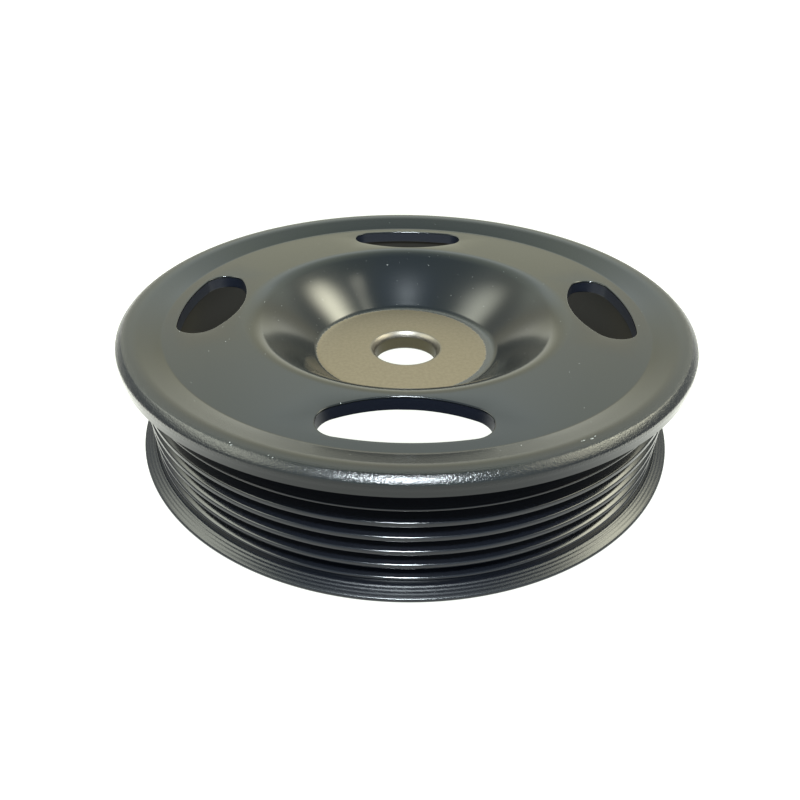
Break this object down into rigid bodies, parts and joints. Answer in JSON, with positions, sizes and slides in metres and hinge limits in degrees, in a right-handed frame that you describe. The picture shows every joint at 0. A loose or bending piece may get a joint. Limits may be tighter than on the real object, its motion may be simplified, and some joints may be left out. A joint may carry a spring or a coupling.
{
  "type": "crankshaft pulley",
  "caption": "Spun steel crankshaft pulley with a dished hub, a plain bore, windows in the front plate and a grooved drum between two flanges for a ribbed belt.",
  "frame": {"origin": "centre of the base, on the axis, in the plane of the bottom flange's lower face", "axes": "+Z along the axis of rotation, from the engine side towards the front plate; +X and +Y through the middles of two windows"},
  "size_m": [0.134, 0.134, 0.0297],
  "materials": {
    "painted_steel": "satin"
  },
  "bodies": {
    "root": {"pulley": "painted_steel"}
  },
  "joints": []
}
